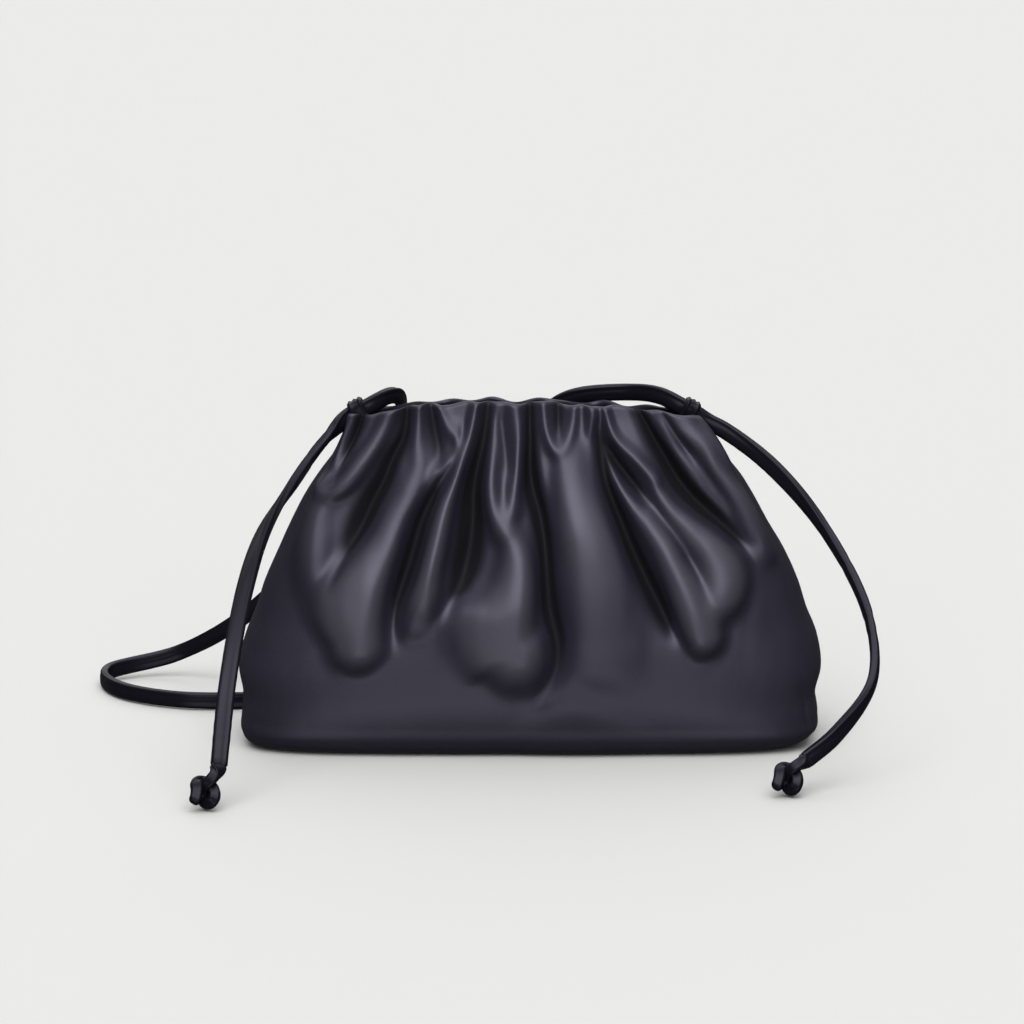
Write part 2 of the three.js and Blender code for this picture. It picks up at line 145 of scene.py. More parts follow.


# %% [markdown]
# ## The strap
# The strap is one length of folded leather, flat and a little rounded, about 7 mm wide. Its way is a list of
# given points, the same as in the CAD model: from the left knot up to the left loop, over the mouth,
# down behind the bag and round a turn on the floor, up the back, along the back of the rim, through the
# right loop and down to the right knot. The second triple is the way that its broad side runs across.

# %% The strap's way
STRAP_WIDTH = 7.0
STRAP_THICKNESS = 4.0
STRAP_WAY = [
    ((-124.4, -123.5, 15.2), (1, 0, 0)),
    ((-121.1, -104, 47.4), (1, 0, 0)),
    ((-114.9, -70, 79.2), (1, -0.3, 0)),
    ((-107.9, -45, 97), (0.5, -0.9, 0.1)),
    ((-96.2, -23, 112.4), (0, -0.8, 0.6)),
    ((-84.6, -8, 126.2), (-0.1, -1, 0.3)),
    ((-74.1, 0, 135.2), (-0.44, 0, 0.9)),
    ((-70.5, 0, 137), (-0.44, 0, 0.9)),
    ((-66.9, 0, 138.8), (-0.44, 0, 0.9)),
    ((-62.6, 2.4, 140.7), (-0.2, 0, 1)),
    ((-58.2, 7, 142), (0, -0.2, 1)),
    ((-54.4, 13, 140.6), (0.2, 0.4, 1)),
    ((-53.2, 20, 135.2), (0.3, 0.9, 0.8)),
    ((-56.5, 32, 123), (0.4, 1, 0.5)),
    ((-82, 60, 78), (0, 1, 0.6)),
    ((-118.3, 78, 35), (0, 0.3, 1)),
    ((-151, 104, 10.5), (0, 0, 1)),
    ((-180, 95, 4.4), (0, 0, 1)),
    ((-174, 64.5, 4.1), (0, 0, 1)),
    ((-141.9, 44, 4.1), (0, 0, 1)),
    ((-84, 54.5, 4.3), (0, 0.1, 1)),
    ((-34, 60.5, 14), (0.5, 0.3, 0.8)),
    ((-13, 57.5, 52), (1, 0, 0.2)),
    ((-4.5, 38.5, 100), (1, 0, 0.2)),
    ((0, 28, 120), (1, -0.1, 0.4)),
    ((7, 20.7, 132.5), (0.6, -0.2, 0.9)),
    ((17.5, 16.4, 139.6), (0, -0.1, 1)),
    ((42, 12.2, 142.6), (0, 0, 1)),
    ((53.5, 4.6, 142.6), (0.2, 0, 1)),
    ((62.2, 0, 139.2), (0.47, 0, 0.88)),
    ((65.5, 0, 137.4), (0.47, 0, 0.88)),
    ((68.8, 0, 135.6), (0.47, 0, 0.88)),
    ((73.2, -0.3, 132.7), (0.5, 0, 0.8)),
    ((80.6, -3, 129.2), (0.5, 0, 0.8)),
    ((99, -14, 116.8), (0.6, -0.4, 0.7)),
    ((120.2, -36.5, 95), (0.4, -1, 0.3)),
    ((137, -58.5, 64.6), (0.2, -1, 0)),
    ((138.4, -75, 41), (-0.2, -1, 0.3)),
    ((123.4, -92.5, 22.9), (-0.4, -0.3, 0.9)),
    ((109.5, -100.3, 12.8), (-0.5, 0, 1)),
]
WAY_STEPS = 14
strap_centres = smooth_line([at for at, _ in STRAP_WAY], WAY_STEPS) * MM
strap_broad = smooth_line([wide for _, wide in STRAP_WAY], WAY_STEPS)
strap_travel = np.r_[0, np.cumsum(np.linalg.norm(np.diff(strap_centres, axis=0), axis=1))]


# %% [markdown]
# ## The strap's section
# A folded strap shows three fine lines: one on each face, where it was stitched and pressed near the open
# edge, and one along that edge, between the two layers. They are sunk into the section itself, so that light
# catches them as it does on the real strap.

# %% Sweep a flat section along a line
SECTION_ROUNDNESS = 0.6
SEAM_ACROSS, SEAM_REACH, SEAM_SINK = 0.5, 0.1, 0.1
EDGE_REACH, EDGE_SINK = 0.3, 0.16


def flat_section(around, width, thickness, seam=1.0):
    """Points of a rounded flat section at shares of the way round it."""
    angle = 2 * math.pi * around
    side, face = (np.sign(f) * np.abs(f) ** SECTION_ROUNDNESS for f in (np.cos(angle), np.sin(angle)))
    channel = np.exp(-(((side - SEAM_ACROSS) / SEAM_REACH) ** 2)) * SEAM_SINK * seam
    groove = np.exp(-((face / EDGE_REACH) ** 2)) * (side > 0.6) * EDGE_SINK * seam
    return side * (1 - groove) * width / 2, face * (1 - channel * 2) * thickness / 2


def sweep(name, centres, broad, width, thickness, sides=30, seam=1.0):
    """A closed strap along a line. width and thickness hold one value for each point of the line."""
    forward = unit(np.gradient(centres, axis=0))
    across = unit(broad - forward * np.sum(broad * forward, axis=1, keepdims=True))
    out = np.cross(forward, across)
    travel = np.r_[0, np.cumsum(np.linalg.norm(np.diff(centres, axis=0), axis=1))]

    def place(around, along):
        ring = np.rint(along * (len(centres) - 1)).astype(int)
        x, y = flat_section(around, width[ring], thickness[ring], seam)
        points = centres[ring] + across[ring] * x[:, None] + out[ring] * y[:, None]
        return points, np.column_stack([around * 2 * (STRAP_WIDTH + STRAP_THICKNESS) * MM, travel[ring]])

    return closed_skin(name, sides, len(centres) - 1, place)


def soft_ends(travel, reach=0.0022):
    """Shares that round a strap off at both its ends."""
    from_end = np.minimum(travel, travel[-1] - travel) / reach
    return np.sqrt(np.clip(1 - (1 - np.clip(from_end, 0, 1)) ** 2, 0.05, 1))

# %% [markdown]
# ## Creases along the strap
# A strap that has been carried and folded away keeps small pinches where it was bent. They could be sculpted,
# but the strap's own width and thickness can tell them: at a crease it is thinner and a little broader.

# %% Sweep the strap with its creases
# Places along the strap, in metres from its left knot, where it is pinched into a crease, and how deep.
CREASES = [(0.013, 0.16), (0.0185, 0.2), (0.024, 0.14), (0.031, 0.1), (0.158, 0.1), (0.172, 0.1),
           (0.905, 0.1), (0.922, 0.12), (0.948, 0.14), (0.9545, 0.1)]
CREASE_LENGTH = 0.0016
CREASE_SPREAD = 0.25
WAVER_SCALE, WAVER_AMOUNT = 38, 0.05

pinch = sum(depth * np.exp(-(((strap_travel - at) / CREASE_LENGTH) ** 2)) for at, depth in CREASES)
waver = np.array([noise.noise(Vector((t * WAVER_SCALE, 2.5, 0))) for t in strap_travel])
strap_width = STRAP_WIDTH * MM * (1 + WAVER_AMOUNT * waver + CREASE_SPREAD * pinch)
strap_thickness = STRAP_THICKNESS * MM * (1 - WAVER_AMOUNT * waver - pinch)
strap_ends = soft_ends(strap_travel)
strap = sweep("strap_leather_length", strap_centres, strap_broad, strap_width * strap_ends,
              strap_thickness * strap_ends)

# %% [markdown]
# ## The knots
# Each end of the strap is tied into an overhand knot, pulled tight, with a short end left over. A knot could
# be sculpted as a lump, but a lump has no crossings to catch the light. So the same leather is swept along a
# knotted line: a clover of three loops, cut open where the strap comes in and where the short end leaves. Near
# the strap the band keeps the strap's own section, and inside the knot it is squeezed narrower and rounder.

# %% Tie the two knots
KNOT_STEPS = 130
KNOT_SIZE = 1.75
KNOT_LIFT = 2.3
KNOT_WIDTH = 5.2
KNOT_THICKNESS = 4.9
KNOT_JOIN = 3.0
KNOT_NECK = (1.0, 7.0)
KNOT_BEND = 0.16
KNOT_TAIL = (-6.5, -6.0, 4.5)


def knotted_line(middle, facing, strap_end):
    """The centreline of an overhand knot: a clover of three loops, cut open at the strap and at its short end."""
    t = np.linspace(math.pi / 3, 2 * math.pi, KNOT_STEPS)
    share = np.linspace(0, 1, KNOT_STEPS)[:, None]
    ahead = unit(np.array(facing, float))
    right = unit(np.cross((0, 0, 1), ahead))
    up = np.cross(ahead, right)
    clover = (KNOT_SIZE * (np.sin(t) + 2 * np.sin(2 * t)), KNOT_SIZE * (np.cos(t) - 2 * np.cos(2 * t)),
              -KNOT_LIFT * np.sin(3 * t))
    line = np.array(middle) + sum(c[:, None] * way for c, way in zip(clover, (right, up, ahead)))
    tail = np.array(middle) + sum(c * way for c, way in zip(KNOT_TAIL, (right, up, ahead)))
    to_strap = np.clip(1 - share / KNOT_BEND, 0, 1) ** 2
    to_tail = np.clip(1 - (1 - share) / KNOT_BEND, 0, 1) ** 2
    return line + (np.array(strap_end) - line[0]) * to_strap + (tail - line[-1]) * to_tail, ahead


def tie_knot(name, middle, facing, strap_end):
    """A knot round a middle, from the strap's end to its short end. facing is the way it looks."""
    centres, ahead = knotted_line(middle, facing, strap_end)
    travel = np.r_[0, np.cumsum(np.linalg.norm(np.diff(centres, axis=0), axis=1))]
    ends = soft_ends(travel * MM)
    from_strap = ease(travel, *KNOT_NECK)
    width = (STRAP_WIDTH + (KNOT_WIDTH - STRAP_WIDTH) * from_strap) * MM * ends
    thickness = (STRAP_THICKNESS + (KNOT_THICKNESS - STRAP_THICKNESS) * from_strap) * MM * ends
    forward = unit(np.gradient(centres, axis=0))
    strap_side = np.cross(forward, ahead)
    broad = strap_side * (1 - from_strap[:, None]) + ahead * from_strap[:, None]
    return sweep(name, centres * MM, broad, width, thickness, sides=24)


left_end, right_end = (
    (strap_centres[end] + KNOT_JOIN * MM * unit(strap_centres[inward] - strap_centres[end])) / MM
    for end, inward in ((0, 8), (-1, -9)))
print("the strap ends at", left_end.round(1), "and", right_end.round(1), "mm")
knot_left = tie_knot("knot_left_leather", (-128.4, -126.0, 8.1), (0.1, -1, 0.4), left_end)
knot_right = tie_knot("knot_right_leather", (105.0, -104.0, 8.1), (-0.1, -1, 0.4), right_end)

# %% [markdown]
# ## Telling the frame about the strap
# The knots are separate pieces on it. Each piece rides on the bag's one body and stands for its plain CAD
# solid.

for piece, node in ((strap, "strap"), (knot_left, "knot_left"), (knot_right, "knot_right")):
    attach(piece, "root")
    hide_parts(node)

# %% [markdown]
# ## The loops
# A small band of the same leather holds the strap at each end of the mouth. Its two ends go down between the
# front and back walls, where they are sewn in. The band is swept round the strap's own section, and three
# low ridges run along it, as on leather that was folded over.

# %% Make the two loops
LOOP_LEATHER = 1.5
LOOP_LENGTH = 6.5
LOOP_PLAY = 0.55
LOOP_TAB = (5.4, 2.2, 8.0)
LOOP_BEVEL = 0.5
LOOP_ROUNDNESS, BAND_ROUNDNESS = 0.5, 0.55
LOOP_RIDGES, RIDGE_RISE = 3, 0.4
LOOP_UV = (36, 16)


def loop_band(name, tilt, node):
    """A band and its sewn-in tab in place of a CAD node, tilted by degrees as the strap is there."""
    low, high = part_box(node)
    middle = (low + high) / 2 / MM
    height = STRAP_WIDTH / 2 + LOOP_PLAY + LOOP_LEATHER / 2
    depth = STRAP_THICKNESS / 2 + LOOP_PLAY + LOOP_LEATHER / 2
    lean = math.radians(tilt)
    along = np.array((math.cos(lean), 0, -math.sin(lean)))
    up = np.array((math.sin(lean), 0, math.cos(lean)))
    back = np.array((0, 1, 0))
    lift = (high.z - low.z) / MM / 2 - height - LOOP_LEATHER
    centre = np.array(middle) + up * lift * 0.9

    def place(around, across):
        turn = 2 * math.pi * around
        c, s = (np.sign(f) * np.abs(f) ** LOOP_ROUNDNESS for f in (np.cos(turn), np.sin(turn)))
        section = 2 * math.pi * across
        a, b = (np.sign(f) * np.abs(f) ** BAND_ROUNDNESS for f in (np.cos(section), np.sin(section)))
        ridge = 1 + RIDGE_RISE * np.cos(LOOP_RIDGES * math.pi * b) * (a > 0.5)
        thick = a * LOOP_LEATHER / 2 * ridge
        points = centre + back * (c * depth)[:, None] + up * (s * height)[:, None]
        points = points + back * (c * thick)[:, None] + up * (s * thick)[:, None]
        points = (points + along * (b * LOOP_LENGTH / 2)[:, None]) * MM
        return points, np.column_stack([around * LOOP_UV[0], across * LOOP_UV[1]]) * MM

    band = closed_skin(name, 64, 40, place, caps=False)
    tab = bmesh.new()
    tab.from_mesh(band.data)
    cube = bmesh.ops.create_cube(tab, size=1)["verts"]
    for vert in cube:
        x, y, z = vert.co.x * LOOP_TAB[0], vert.co.y * LOOP_TAB[1], vert.co.z * LOOP_TAB[2]
        place_at = centre + along * x + back * y + up * (z - height - LOOP_TAB[2] / 2)
        vert.co = Vector(place_at) * MM
    sides = list({edge for vert in cube for edge in vert.link_edges})
    bmesh.ops.bevel(tab, geom=sides, offset=LOOP_BEVEL * MM, segments=3, profile=0.5, affect="EDGES",
                    material=-1)
    bmesh.ops.recalc_face_normals(tab, faces=tab.faces)
    tab.to_mesh(band.data)
    tab.free()
    band.data.polygons.foreach_set("use_smooth", [True] * len(band.data.polygons))
    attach(band, "root")
    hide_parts(node)
    return band


loop_left = loop_band("loop_left_leather", -26, "loop_left")
loop_right = loop_band("loop_right_leather", 28, "loop_right")

# %% [markdown]
# ## The pouch's sections
# Seen from above, the base is a rounded rectangle and the mouth a slim one, and the walls draw in from one to
# the other. Each row of the table says how far the four sides have drawn in at a share of the height, and
# how square the section is there. A soft bag also bulges low down, where its own weight settles.

# %% The pouch's sizes and sections
BASE_WIDTH, BASE_DEPTH, POUCH_HEIGHT = 240.0, 84.0, 143.0
MOUTH_WIDTH, MOUTH_DEPTH, MOUTH_SHIFT = 147.4, 22.0, -2.4
RIM_DROP, BACK_RIM_DROP, END_DIP, RIM_WAVE = 7.0, 2.5, 10.0, 0.45
WALL, HEM, CORNER = 2.0, 3.0, 1.6

# height, left, right, front, back, square
SECTIONS = np.array([
    (0.0, 0.19, 0.33, 0.26, 0.2, 4.6),
    (0.014, 0.08, 0.17, 0.12, 0.09, 4.8),
    (0.04, 0.02, 0.05, 0.02, 0.0, 4.8),
    (0.09, 0.02, 0.02, -0.06, -0.06, 4.4),
    (0.15, 0.03, 0.04, -0.12, -0.12, 3.9),
    (0.22, -0.01, -0.01, -0.13, -0.17, 3.4),
    (0.3, 0.05, 0.02, -0.11, -0.18, 3.0),
    (0.38, 0.15, 0.11, -0.05, -0.13, 2.8),
    (0.46, 0.23, 0.18, 0.02, -0.03, 2.6),
    (0.56, 0.36, 0.3, 0.15, 0.12, 2.5),
    (0.66, 0.49, 0.45, 0.3, 0.3, 2.4),
    (0.76, 0.63, 0.58, 0.49, 0.49, 2.5),
    (0.84, 0.76, 0.69, 0.66, 0.66, 2.6),
    (0.91, 0.88, 0.81, 0.83, 0.83, 2.9),
    (0.96, 0.96, 0.91, 0.94, 0.94, 3.4),
    (1.0, 1.0, 1.0, 1.0, 1.0, 4.0),
])

# across the half width of the mouth, sag of the rim as a share of RIM_DROP
RIM_LINE = np.array([
    (-1.0, 1.0), (-0.8, 0.62), (-0.6, 0.24), (-0.3, 0.04), (0.0, 0.05), (0.35, 0.2), (0.7, 0.52), (1.0, 1.0),
])


def read_table(table, at):
    """A smooth reading of every other column of a table, at any value of its first."""
    x, y = table[:, 0], table[:, 1:]
    slope = np.gradient(y, x, axis=0)
    i = np.clip(np.searchsorted(x, at, side="right") - 1, 0, len(x) - 2)
    gap = x[i + 1] - x[i]
    t = (np.clip(at, x[0], x[-1]) - x[i]) / gap
    t, gap = t[..., None], gap[..., None]
    return ((1 + 2 * t) * (1 - t) ** 2 * y[i] + t * (1 - t) ** 2 * gap * slope[i]
            + t**2 * (3 - 2 * t) * y[i + 1] + t**2 * (t - 1) * gap * slope[i + 1])


print("half width at half height:", read_table(SECTIONS, np.array(0.5)).round(2))

# %% [markdown]
# ## The gathers
# The folds are what makes this bag. They start at the mouth, where the leather is gathered, swell outwards on
# their way down and end in soft lobes over the full lower half. A cloth simulation would fold the leather
# somewhere by itself, but the photograph shows where each fold lies, so each is set down as a
# stroke: points in the photograph's frame of 1024 units, with the fold's reach to either side and its lift.
# A lift below zero is a valley. A lobe's lift grows on its way down, so that its back turns up to the light.

# %% The folds of the front
# Each row: right, down, reach on the left, reach on the right, lift in mm.
FRONT_FOLDS = {
    "smooth panel at the right corner": [
        (668, 424, 14, 22, 1.5), (690, 434, 20, 26, 4), (708, 446, 24, 26, 5), (724, 464, 24, 20, 3.5),
        (736, 486, 18, 14, 1.5),
    ],
    "left corner pocket": [
        (366, 400, 10, 10, -3), (354, 432, 12, 12, -5.5), (345, 452, 10, 10, -4), (340, 466, 8, 8, -1),
    ],
    "left corner rim": [
        (345, 406, 7, 7, 2), (328, 438, 9, 9, 4), (319, 462, 10, 10, 5), (321, 484, 12, 11, 5.5),
        (335, 491, 13, 11, 5.5), (350, 478, 15, 12, 5.5), (364, 459, 15, 13, 5), (378, 438, 14, 12, 4),
        (394, 402, 12, 10, 3),
    ],
    "left soft light": [
        (330, 492, 16, 16, 3), (319, 514, 20, 20, 4.5), (314, 540, 24, 22, 4.5), (312, 575, 26, 20, 3),
        (314, 600, 22, 14, 1),
    ],
    "first left valley": [
        (408, 400, 10, 11, -4), (403, 438, 14, 13, -6), (391, 460, 18, 16, -7.5), (382, 482, 22, 18, -8.5),
        (370, 503, 26, 20, -9), (360, 524, 27, 22, -8.5), (350, 546, 26, 20, -6.5), (340, 568, 22, 16, -4),
        (332, 588, 16, 16, -1.5),
    ],
    "left lobe": [
        (419, 400, 9, 8, 2.5), (418, 440, 11, 9, 2), (419, 468, 15, 14, 2.5), (410, 494, 20, 18, 3.5),
        (398, 520, 26, 20, 5), (388, 545, 34, 23, 6.5), (379, 564, 46, 26, 8), (372, 584, 60, 28, 9.5),
        (367, 603, 72, 32, 9.8), (363, 620, 68, 34, 9.8), (361, 634, 54, 36, 9.3), (361, 642, 42, 36, 8.8),
    ],
    "pleat pocket": [
        (430, 402, 9, 8, -3), (434, 428, 11, 11, -5.5), (439, 450, 11, 9, -4.5), (440, 464, 8, 6, -1.5),
    ],
    "pleat edge": [
        (436, 401, 5, 4, 1.5), (448, 426, 6, 5, 3.5), (459, 438, 7, 5, 4.5), (458, 451, 7, 5, 4.5),
        (447, 464, 9, 7, 4), (432, 476, 10, 9, 2),
    ],
    "second left valley": [
        (466, 424, 6, 5, -2), (455, 462, 8, 7, -3.5), (446, 482, 12, 9, -6), (431, 502, 15, 12, -7),
        (421, 522, 17, 13, -7.5), (414, 545, 18, 14, -8), (408, 565, 18, 15, -8), (401, 585, 18, 16, -7.5),
        (394, 606, 18, 18, -6), (391, 626, 18, 18, -4), (391, 642, 14, 14, -2),
    ],
    "narrow bright ridge": [
        (477, 402, 7, 7, 3.5), (469, 438, 9, 9, 4.5), (460, 462, 11, 11, 5.5), (450, 490, 14, 14, 6.5),
        (443, 518, 15, 15, 7.5), (437, 545, 16, 16, 8.5), (431, 570, 17, 17, 9), (426, 590, 20, 22, 8),
        (420, 606, 24, 26, 6), (415, 620, 26, 26, 3.5),
    ],
    "third left valley": [
        (489, 400, 9, 8, -4), (484, 440, 13, 11, -6.5), (479, 464, 16, 13, -8.5), (474, 488, 20, 15, -10),
        (473, 512, 24, 18, -10.5), (471, 540, 26, 22, -10.5), (466, 566, 26, 24, -9.5),
        (460, 586, 24, 20, -6.5), (452, 602, 18, 14, -3.5), (446, 614, 12, 12, -1),
    ],
    "hem flap side": [
        (516, 402, 14, 8, 2.5), (521, 436, 13, 8, 3.5), (520, 468, 12, 9, 4), (515, 492, 12, 10, 4.5),
        (511, 514, 15, 13, 5),
    ],
    "inner pocket": [
        (501, 418, 9, 9, -2.5), (504, 444, 10, 9, -3.5), (507, 470, 9, 8, -2.5),
    ],
    "inner streak": [
        (492, 452, 8, 8, 1.5), (490, 480, 11, 12, 4), (493, 506, 14, 16, 5), (504, 530, 18, 18, 5.5),
    ],
    "low centre lobe": [
        (510, 530, 18, 18, 5), (518, 556, 28, 22, 7), (520, 582, 40, 23, 8.5), (518, 606, 58, 24, 10),
        (515, 624, 86, 28, 9.8), (515, 638, 84, 31, 9.3), (521, 648, 60, 34, 9),
    ],
    "centre valley": [
        (530, 400, 8, 6, -5), (530, 440, 12, 9, -8), (530, 466, 15, 11, -10.5), (533, 490, 16, 12, -11),
        (540, 514, 15, 11, -11), (545, 545, 13, 12, -10), (547, 580, 12, 14, -9.5), (549, 612, 12, 20, -9),
        (556, 642, 12, 22, -7), (557, 662, 12, 18, -5.5), (549, 684, 11, 12, -4), (534, 704, 10, 10, -1.5),
    ],
    "small rim pocket": [
        (558, 400, 9, 9, -3.5), (558, 424, 10, 10, -5), (558, 437, 8, 8, -3.5),
    ],
    "small rim pocket edge": [
        (543, 402, 6, 6, 2), (547, 433, 7, 7, 3.5), (558, 450, 10, 10, 4.5), (570, 435, 7, 7, 3.5),
        (575, 402, 7, 6, 2),
    ],
    "small rim flap": [
        (592, 400, 11, 8, 3.5), (594, 422, 11, 7, 4), (591, 434, 8, 6, 2),
    ],
    "large centre ridge": [
        (566, 452, 18, 24, 3), (570, 476, 24, 30, 4.5), (574, 502, 28, 38, 6.5), (580, 526, 34, 46, 8),
        (586, 546, 38, 52, 8), (592, 572, 42, 56, 7), (595, 602, 42, 62, 5.5), (596, 636, 38, 66, 4),
        (594, 668, 40, 66, 3.5), (590, 694, 40, 60, 1),
    ],
    "first right valley": [
        (598, 424, 8, 8, -3.5), (602, 458, 11, 11, -6), (608, 484, 14, 10, -7.5), (618, 512, 16, 11, -9.5),
        (631, 545, 18, 13, -10.5), (645, 575, 19, 14, -10.5), (660, 604, 19, 15, -9.5),
        (674, 628, 17, 14, -7), (686, 648, 14, 12, -4),
    ],
    "thin rim streak": [
        (603, 401, 6, 6, 3), (614, 436, 8, 7, 4), (636, 458, 9, 8, 4.5), (654, 478, 12, 11, 5),
    ],
    "right rim pocket": [
        (606, 446, 9, 9, -5), (617, 463, 12, 10, -8), (631, 481, 13, 10, -8), (644, 497, 11, 9, -5),
    ],
    "right lobe": [
        (612, 476, 8, 11, 2), (628, 500, 13, 15, 4.5), (646, 522, 17, 19, 6), (661, 544, 19, 21, 7.5),
        (671, 564, 20, 21, 8.5), (680, 584, 22, 26, 9.5), (688, 604, 26, 30, 10), (695, 622, 30, 32, 9.8),
        (699, 633, 32, 32, 9.2),
    ],
    "right lobe shoulder": [
        (654, 486, 12, 11, 4), (670, 508, 17, 15, 5.5), (692, 530, 24, 22, 7), (710, 550, 28, 30, 8),
        (720, 574, 32, 36, 8.5), (718, 594, 30, 34, 8), (712, 606, 28, 28, 6.5),
    ],
    "last right valley": [
        (634, 402, 9, 9, -4), (653, 436, 15, 11, -7), (667, 458, 18, 13, -9.5), (681, 480, 21, 15, -10.5),
        (698, 500, 22, 16, -10), (720, 520, 20, 16, -7.5), (744, 542, 16, 14, -4),
    ],
    "right corner panel": [
        (672, 402, 24, 18, 3.5), (690, 428, 20, 14, 4.5), (703, 446, 13, 12, 5), (710, 462, 12, 12, 5.5),
        (725, 482, 13, 13, 6), (740, 502, 15, 14, 6), (754, 524, 17, 15, 5), (768, 552, 18, 14, 3),
    ],
    "right corner crease": [
        (662, 412, 5, 5, -0.8), (672, 430, 7, 7, -2.4), (684, 446, 8, 8, -3), (694, 458, 7, 7, -1.5),
    ],
    "soft low peak": [
        (572, 686, 18, 20, 1), (572, 708, 44, 54, 1.8), (572, 730, 72, 90, 1.2),
    ],
    "right foot crease": [
        (801, 688, 6, 6, -0.8), (806, 705, 7, 6, -1.8), (809, 728, 7, 6, -1.4),
    ],
}
STROKE_STEPS = 5
CROWN_FLATNESS = 2.3
print(len(FRONT_FOLDS), "folds on the front")

# %% [markdown]
# ## From the frame onto the leather
# A stroke was set down in the photograph's frame, so each point of the front is seen through the camera first,
# and the strokes near it in that frame lift it. A ridge has a flat crown and a valley a sharp bottom, because
# leather is pushed out by what it holds and drawn in by the seam. Where strokes meet, the greater one leads.

# %% Press the strokes into the front
FRAME_SIDE = 1024
SENSOR_WIDTH = 36
FRAME_LENS = CAMERA_LENS / SENSOR_WIDTH * FRAME_SIDE


def in_frame(points):
    """Where points in mm lie in the photograph's frame: right and down, in its 1024 units."""
    seen = np.array(points) * MM - np.array(CAMERA_EYE)
    look = np.array((0, math.cos(CAMERA_TILT), -math.sin(CAMERA_TILT)))
    up = np.array((0, math.sin(CAMERA_TILT), math.cos(CAMERA_TILT)))
    away = seen @ look
    return FRAME_SIDE / 2 + np.column_stack([seen[:, 0], -(seen @ up)]) / away[:, None] * FRAME_LENS


def stroke_lift(rows, at):
    """The lift of one stroke at places in the frame, from the nearest point of its smoothed line."""
    line = smooth_line(rows, STROKE_STEPS)
    lift, nearest = np.zeros(len(at)), np.full(len(at), 1e9)
    low, high = line[:, :2].min(0) - line[:, 2:4].max(), line[:, :2].max(0) + line[:, 2:4].max()
    near = np.flatnonzero(np.all((at > low) & (at < high), axis=1))
    for a, b in zip(line, line[1:]):
        way = b[:2] - a[:2]
        off = at[near] - a[:2]
        share = np.clip(off @ way / (way @ way), 0, 1)
        gap = off - share[:, None] * way
        distance = np.linalg.norm(gap, axis=1)
        here = a + share[:, None] * (b - a)
        turn = (way[0] * gap[:, 1] - way[1] * gap[:, 0]) / (np.linalg.norm(way) * distance + 1e-9)
        left_share = ease(turn, -1, 1)
        reach = here[:, 3] + (here[:, 2] - here[:, 3]) * left_share
        closer = distance < nearest[near]
        nearest[near[closer]] = distance[closer]
        off_line = np.clip(distance / reach, 0, 1)
        crown = (1 - off_line**CROWN_FLATNESS) ** 2
        gully = (1 - off_line) ** 2
        lift[near[closer]] = (here[:, 4] * np.where(here[:, 4] > 0, crown, gully))[closer]
    return lift


def front_lift(points):
    """The lift of all the strokes at points of the front, in mm. Where strokes overlap, the greater one leads."""
    at = in_frame(points)
    lifts = np.array([stroke_lift(rows, at) for rows in FRONT_FOLDS.values()])
    up, down = np.clip(lifts, 0, None), np.clip(-lifts, 0, None)
    return np.sum(up**3, axis=0) ** (1 / 3) - np.sum(down**3, axis=0) ** (1 / 3)

# %% [markdown]
# ## The back
# The photograph doesn't show the back. A gathered mouth draws both walls in alike, so the back gets folds in
# the same rhythm. They are set down on the wall itself, by height and place across, as no frame is needed.

# %% The folds of the back
BACK_FOLDS = {
    "back ridge 1": [
        (1, -0.8, 0.1, 3), (0.75, -0.84, 0.12, 4.5), (0.5, -0.86, 0.15, 2), (0.3, -0.87, 0.16, 0),
    ],
    "back valley 1": [
        (1, -0.63, 0.09, -3.5), (0.7, -0.69, 0.12, -8), (0.45, -0.71, 0.13, -3), (0.3, -0.72, 0.14, 0),
    ],
    "back ridge 2": [
        (1, -0.46, 0.09, 3.5), (0.7, -0.51, 0.13, 6), (0.45, -0.54, 0.19, 6.5), (0.3, -0.55, 0.2, 2),
        (0.2, -0.56, 0.2, 0),
    ],
    "back valley 2": [
        (1, -0.31, 0.08, -4), (0.7, -0.36, 0.1, -8), (0.5, -0.39, 0.12, -5), (0.34, -0.4, 0.12, 0),
    ],
    "back ridge 3": [
        (1, -0.2, 0.07, 3.5), (0.7, -0.22, 0.11, 6), (0.48, -0.23, 0.16, 6), (0.32, -0.24, 0.17, 1),
        (0.24, -0.24, 0.17, 0),
    ],
    "back valley 3": [
        (1, -0.05, 0.08, -4), (0.65, -0.06, 0.11, -9), (0.4, -0.05, 0.12, -4), (0.22, -0.05, 0.12, 0),
    ],
    "back ridge 4": [
        (1, 0.11, 0.08, 3.5), (0.7, 0.13, 0.13, 6), (0.45, 0.14, 0.19, 6.5), (0.28, 0.15, 0.2, 1),
        (0.2, 0.15, 0.2, 0),
    ],
    "back valley 4": [
        (1, 0.25, 0.08, -4), (0.7, 0.3, 0.1, -8), (0.48, 0.32, 0.12, -5), (0.34, 0.33, 0.12, 0),
    ],
    "back ridge 5": [
        (1, 0.38, 0.08, 3.5), (0.7, 0.43, 0.12, 6), (0.42, 0.46, 0.18, 7), (0.28, 0.47, 0.19, 1.5),
        (0.2, 0.48, 0.19, 0),
    ],
    "back valley 5": [
        (1, 0.54, 0.09, -3.5), (0.7, 0.6, 0.11, -8), (0.45, 0.63, 0.12, -3), (0.3, 0.64, 0.12, 0),
    ],
    "back ridge 6": [
        (1, 0.7, 0.1, 3), (0.75, 0.75, 0.12, 5.5), (0.5, 0.77, 0.14, 3), (0.34, 0.78, 0.14, 0),
    ],
}


def fold_lift(folds, across, height):
    """How far, in mm, the folds push the skin out at places across and at heights."""
    lift = np.zeros_like(across)
    for points in folds.values():
        line = np.array(points[::-1], float)
        crest, reach, rise = read_table(line, height).T
        away = np.clip((across - crest) / reach, -1, 1)
        lift += rise * (1 - away * away) ** 2 * (height > line[0, 0])
    return lift


